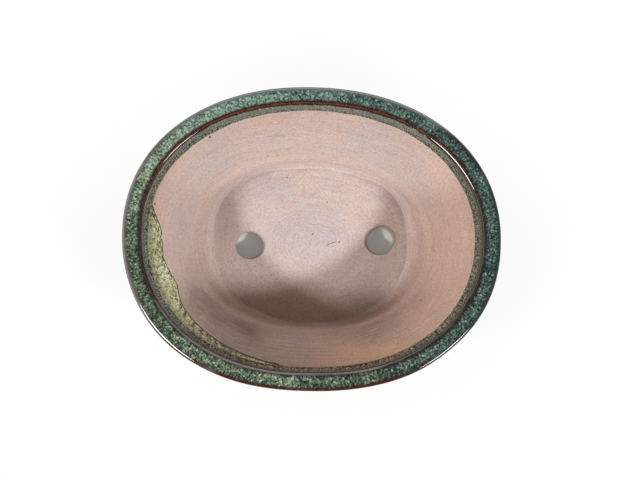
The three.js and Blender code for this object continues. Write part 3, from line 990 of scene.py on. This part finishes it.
def makeRun():
    degrees = np.linspace(run["edge"][0][0], run["edge"][-1][0], run["alongSteps"])
    turns = np.radians(degrees)
    fall = np.array(pot["coveTop"]) - pot["bandEnd"]
    start = pot["bandEnd"] - fall * run["overlap"]
    wallLine = joinStretches(straight(40, 4, start, pot["coveTop"]))
    zero = np.linalg.norm(fall) * run["overlap"]
    edgeAt, thickAt = (np.interp(degrees, *zip(*run[key])) for key in ("edge", "thickness"))
    ring = carryRound(wallLine, 0, turns)[4]
    edgeAt = edgeAt + 0.28 * lumps(ring, 2.6, 31) + 0.2 * lumps(ring, 1.4, 32)
    edgeAt = np.maximum(edgeAt, run["top"] + 0.4)
    shares = np.linspace(0, 1, run["acrossSteps"]) ** 0.8
    down = run["top"] + (edgeAt - run["top"]) * shares[:, None]
    fromEdge = edgeAt - down
    rounded = np.sqrt(np.clip(1 - (1 - np.clip(fromEdge / run["round"], 0, 1)) ** 2, 0, 1))
    fromTop = smoothStep(down, run["top"], run["top"] + run["fadeTop"])
    lift = (thickAt + run["sunk"]) * rounded * (0.25 + 0.75 * fromTop) - run["sunk"]
    inset, z = (np.interp(down + zero, wallLine["far"], wallLine["place"][:, k]) for k in (0, 1))
    off = wallLine["off"][0]
    upper, lower = (potPoints(inset + off[0] * height, z + off[1] * height, 4, turns)
                    for height in (lift, -run["buried"]))
    bumps = run["lump"] * (lumps(upper, 5, 33) + 0.6 * lumps(upper, 2, 34)) * rounded * fromTop
    upper[..., 2] += bumps / 1000
    loops = np.concatenate([upper, lower[::-1]]).transpose(1, 0, 2)
    space = np.stack([ring[:, 0] + 0 * down, ring[:, 1] + 0 * down, down * runLooks["squeeze"] / 1000], -1)
    marks = {
        "glazeSpace": np.concatenate([space, space[::-1]]).transpose(1, 0, 2),
        "runEdge": np.concatenate([fromEdge, fromEdge[::-1] * 0]).T[..., None],
    }
    piece = buildPiece("glazeRun", loops, yellowGlaze, marks=marks)
    standFor(piece, "glaze_run")


makeRun()
print("glaze run ready")

# Four cloud feet, glazed down to just above the table
foot = {
    "height": pot["footHeight"],
    "width": 9,
    "setback": 1,
    "flare": 0.5,
    "taper": 0.8,
    "halfAngle": 21,
    "flat": 0.5,  # share of its length that stands on the table
    "tip": 1.1,
    "lobe": 0.35,
    "edge": 0.6,
    "bulge": 0.18,
    "overlap": 0.15,  # how far it goes up into the slab
    "steps": 96,
    "creaseAngle": 60,
    "directions": {
        "foot_back_right": 45, "foot_back_left": 135, "foot_front_left": 225, "foot_front_right": 315,
    },
}


# The section of a foot whose underside is at the height low
def footLine(low):
    height, top = foot["height"], foot["height"] + foot["overlap"]
    outer = pot["slabEdge"][0] + foot["setback"]
    inner = outer + foot["width"]
    lean = (height - low) / height
    outerLow, innerLow = outer - foot["flare"] * lean, inner - foot["taper"] * lean
    radius = min(foot["edge"], (height - low) / 2)
    t = np.linspace(0, 1, 9)
    outerFace = [(outer + (outerLow - outer) * s - foot["bulge"] * math.sin(math.pi * s) * lean,
                  top + (low + radius - top) * s) for s in t]
    bends = [(radius * (1 - math.cos(a)), radius * (1 - math.sin(a))) for a in t * math.pi / 2]
    corner = [(outerLow + across, low + up) for across, up in bends[1:]]
    flat = [(outerLow + radius + (innerLow - outerLow - 2 * radius) * s, low) for s in (0.25, 0.5, 0.75)]
    innerCorner = [(innerLow - up, low + across) for across, up in bends]
    innerFace = [(innerLow + (inner - innerLow) * s, low + radius + (top - low - radius) * s)
                 for s in (0.35, 0.7, 1)]
    return np.array(outerFace + corner + flat + innerCorner + innerFace)


def makeFoot(node, direction):
    shares = np.linspace(-1, 1, foot["steps"] + 1)
    rise = np.clip(np.abs(shares) - foot["flat"], 0, None) / (1 - foot["flat"])
    climb = (1 - np.cos(np.pi * rise)) / 2
    lows = np.maximum((foot["height"] - foot["tip"]) * climb + foot["lobe"] * np.sin(2 * np.pi * rise), 0)
    loops = []
    for share, low in zip(shares, lows):
        places = footLine(low)
        turns = np.array([math.radians(direction + share * foot["halfAngle"])])
        loops.append(potPoints(places[:, 0], places[:, 1], 1.5, turns))
    loops = np.array(loops)
    # It lies far from the rim's edge and ridge, so the glaze on it is plain mottle.
    far = np.full(loops.shape[:2], 30.0)
    marks = {"glazeSpace": loops * [1, 1, 0.6], "glazeLine": -far, "edgeLine": -far,
             "coatEdge": far, "clayLine": loops[..., 2] * 1000, "claySpace": loops}
    piece = buildPiece(node.replace("_", " ").title().replace(" ", ""), loops, footGlaze, marks=marks)
    standFor(piece, node, foot["creaseAngle"])


for node, direction in foot["directions"].items():
    makeFoot(node, direction)
print("feet ready")

# The lip's clay is hidden by the glaze and keeps its solid.
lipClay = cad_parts["rim_lip"].data.materials
lipClay.clear()
lipClay.append(bareClay)

# Iron specks and pale grit where the clay shows them: across, back and size in millimetres
grains = {
    "iron": (
        (-58.5, 56.2, 1.5), (-88.1, 17.6, 1.3), (-26.0, 49.6, 0.8), (-13.9, 52.2, 0.7), (-14.7, 39.4, 0.8),
        (1.4, 6.3, 0.9), (9.1, 25.4, 0.8), (16.7, 2.1, 0.9), (63.8, -31.2, 0.8), (24.6, -63.7, 0.9),
        (50.1, -56.8, 0.7), (-22.4, -18.3, 0.6), (30.5, 20.4, 0.5), (-48.2, 22.5, 0.6), (70.4, 12.8, 0.6),
        (52.6, 38.9, 0.5),
    ),
    "grit": (
        (20.3, 57.2, 0.8), (12.4, 45.3, 0.9), (4.7, 14.1, 1.1), (-22.0, 66.1, 0.8), (-33.5, 57.0, 0.6),
        (47.0, 50.2, 0.6), (3.1, 13.5, 0.7),
    ),
    "scratch": (6.9, -1.1, 15.6, 2.6, 0.28),  # its two ends and its width
    "narrow": 0.8,  # breadth of a grain for its length
    "depth": 0.3,  # share of its breadth that stands out
    "rough": 0.35,
}


# The place and slope of the clay's upper surface at a point of the plan
def clayAt(trees, x, y):
    hits = [tree.ray_cast(Vector((x, y, 200)) / 1000, Vector((0, 0, -1))) for tree in trees]
    return max(((hit[0], hit[1]) for hit in hits if hit[0]), key=lambda pair: pair[0].z)


# Grains given by place, breadth, length and direction, sunk halfway into the clay
def makeGrains(name, places, finish):
    shape = bmesh.new()
    graph = bpy.context.evaluated_depsgraph_get()
    trees = [BVHTree.FromObject(thing, graph) for thing in (slab, wallPiece)]
    for i, (x, y, across, along, direction) in enumerate(places):
        spot, normal = clayAt(trees, x, y)
        turn = Vector((0, 0, 1)).rotation_difference(normal).to_matrix().to_4x4()
        turn = turn @ Matrix.Rotation(direction, 4, "Z")
        sizes = Matrix.Diagonal((along / 2000, across / 2000, across * grains["depth"] / 2000, 1))
        matrix = Matrix.Translation(spot) @ turn @ sizes
        made = bmesh.ops.create_icosphere(shape, subdivisions=3, radius=1, matrix=matrix)
        for point in made["verts"]:
            away = point.co - spot
            bump = noise.noise(away * 1600 + Vector((i * 7.1, 0, 0)))
            point.co = spot + away * (1 + grains["rough"] * bump)
    mesh = bpy.data.meshes.new(name)
    shape.to_mesh(mesh)
    shape.free()
    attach(placePiece(name, mesh, finish), "root")


x1, y1, x2, y2, width = grains["scratch"]
scratch = ((x1 + x2) / 2, (y1 + y2) / 2, width, math.hypot(x2 - x1, y2 - y1), math.atan2(y2 - y1, x2 - x1))
specks, grit = ([(x, y, size * grains["narrow"], size, 0) for x, y, size in grains[key]]
                for key in ("iron", "grit"))
makeGrains("ironSpecks", specks + [scratch], ironSpot)
makeGrains("paleGrains", grit, paleGrit)
print("grains ready")

# The table and a plain studio: softboxes in front, low panels behind and beside, dim surroundings.
# The softboxes give the shade, and weaker oval lamps in their place the glints on the glaze.
studio = {
    # degrees to the right of the front and up, distance and size in metres, radiance
    "lamps": {
        "softboxLeft": (-50, 35.2, 1.0, 0.38, 0.05, 105),
        "softboxRight": (46, 33, 1.0, 0.26, 0.06, 165),
        "glintLeft": (-50, 36, 1.0, 0.48, 0.12, 23),
        "glintRight": (46.5, 33, 1.0, 0.34, 0.075, 20),
        "panelBack": (180, 22, 1.0, 2.4, 0.2, 2.9),
        "panelLeft": (-90, 22, 1.0, 1.2, 0.2, 3.2),
        "panelRight": (90, 22, 1.0, 1.2, 0.2, 0.3),
    },
    "aim": (0, 0, 0.045),
    "surround": (0.15, 0.12, 0.09),
    "tableRadius": 6,
    "tableColour": (232, 238, 227),
    "glowNear": 0.9,  # share of plain white that the camera sees on the table beside the pot
    "paintedGlowUnder": 0.155,  # and, as painted light on the shaded table under the pot, through its drainage holes
    "glowReach": (1.0, 1.9),  # and from front to back beside the pot: a faint painted shadow in front, painted light over the shadow behind
    "paintedFrontShadow": (-0.07, 0.05),  # and how the white beside the pot changes from front to back
}


def makeTable():
    shape = bmesh.new()
    bmesh.ops.create_circle(shape, cap_ends=True, radius=studio["tableRadius"], segments=96)
    mesh = bpy.data.meshes.new("table")
    shape.to_mesh(mesh)
    shape.free()
    finish, shader = newFinish("tablePaper")
    colour = paint(studio["tableColour"])
    setInputs(shader, {"Base Color": colour, "Roughness": 0.9, "Specular IOR Level": 0.1})
    place = placeOf()
    oval = vectorOf("MULTIPLY", place, (2000 / pot["length"], 2000 / pot["width"], 0))
    away = addNode("VectorMath", {"operation": "LENGTH"}, {0: oval}).outputs["Value"]
    start, full = studio["glowReach"]
    # Under the pot the white gives way to the real shade, with some painted light seen through the drainage
    # holes.
    under = spread(away, 0.62, start, studio["paintedGlowUnder"], studio["glowNear"])
    beside = spread(away, start, full, 0, 1 - studio["glowNear"])
    frontShadowShare = spread(axesOf(place)[1], -0.09, 0.09, *studio["paintedFrontShadow"])
    share = added(under, beside, within(spread(away, full, start), frontShadowShare))
    seen = addNode("LightPath").outputs["Is Camera Ray"]
    glow = addNode("Emission", None, {"Color": (1, 1, 1, 1), "Strength": 1.0})
    mixed = addNode("MixShader", None, {0: within(seen, share), 1: shader.outputs[0], 2: glow.outputs[0]})
    setInputs(finish.node_tree.nodes["Material Output"], {"Surface": mixed.outputs[0]})
    table = placePiece("table", mesh, finish)


def makeLamps():
    for name, (azimuth, elevation, distance, across, high, radiance) in studio["lamps"].items():
        lamp = bpy.data.lights.new(name, "AREA")
        lamp.shape = "ELLIPSE" if name.startswith("glint") else "RECTANGLE"
        lamp.size, lamp.size_y = across, high
        lamp.energy = radiance * math.pi * across * high
        azimuth, elevation = math.radians(azimuth), math.radians(elevation)
        level = math.cos(elevation)
        way = Vector((math.sin(azimuth) * level, -math.cos(azimuth) * level, math.sin(elevation)))
        holder = addObject(name, lamp)
        holder.location = Vector(studio["aim"]) + way * distance
        holder.rotation_euler = (-way).to_track_quat("-Z", "Y").to_euler()
        holder.visible_glossy = not name.startswith("softbox")
        holder.visible_diffuse = not name.startswith("glint")


# The camera sees plain white round the table, and the pot is lit by the dim surroundings.
def makeSurroundings():
    world = bpy.data.worlds.new("studio")
    bpy.context.scene.world = world
    world.use_nodes = True
    into["tree"] = world.node_tree
    seen = addNode("LightPath").outputs["Is Camera Ray"]
    sky, plain = (addNode("Background", None, {"Color": (*colour, 1), "Strength": 1.0}).outputs[0]
                  for colour in (studio["surround"], (1, 1, 1)))
    mixed = addNode("MixShader", None, {0: seen, 1: sky, 2: plain}).outputs[0]
    setInputs(world.node_tree.nodes["World Output"], {"Surface": mixed})


makeTable()
makeLamps()
makeSurroundings()
print("studio ready")

# The camera stands where the photograph was taken from, nearly straight above.
camera = {
    "place": (-12.4, -67.9, 902.9),  # millimetres
    "tilt": 0.08,  # radians towards the back
    "swing": 0.0152,  # and towards the right
    "roll": 0.0271,
    "focalPixels": 1534.2,
    "imageWidth": 625,
    "sensorWidth": 36,
    "clip": (0.01, 50),
}


def makeCamera():
    lens = bpy.data.cameras.new("photoCamera")
    lens.sensor_fit = "HORIZONTAL"
    lens.sensor_width = camera["sensorWidth"]
    lens.lens = camera["focalPixels"] * camera["sensorWidth"] / camera["imageWidth"]
    lens.clip_start, lens.clip_end = camera["clip"]
    tilt, swing, roll = camera["tilt"], camera["swing"], camera["roll"]
    way = Vector((math.sin(swing), math.sin(tilt), -math.cos(tilt) * math.cos(swing))).normalized()
    right = way.cross(Vector((0, 1, 0))).normalized()
    up = right.cross(way)
    turned = right * math.cos(roll) + up * math.sin(roll)
    upright = up * math.cos(roll) - right * math.sin(roll)
    matrix = Matrix((turned, upright, -way)).transposed().to_4x4()
    matrix.translation = Vector(camera["place"]) / 1000
    holder = addObject("photoCamera", lens)
    holder.matrix_world = matrix
    bpy.context.scene.camera = holder


makeCamera()
bpy.context.scene.view_settings.view_transform = "Standard"
print("camera ready")

bpy.context.view_layer.update()
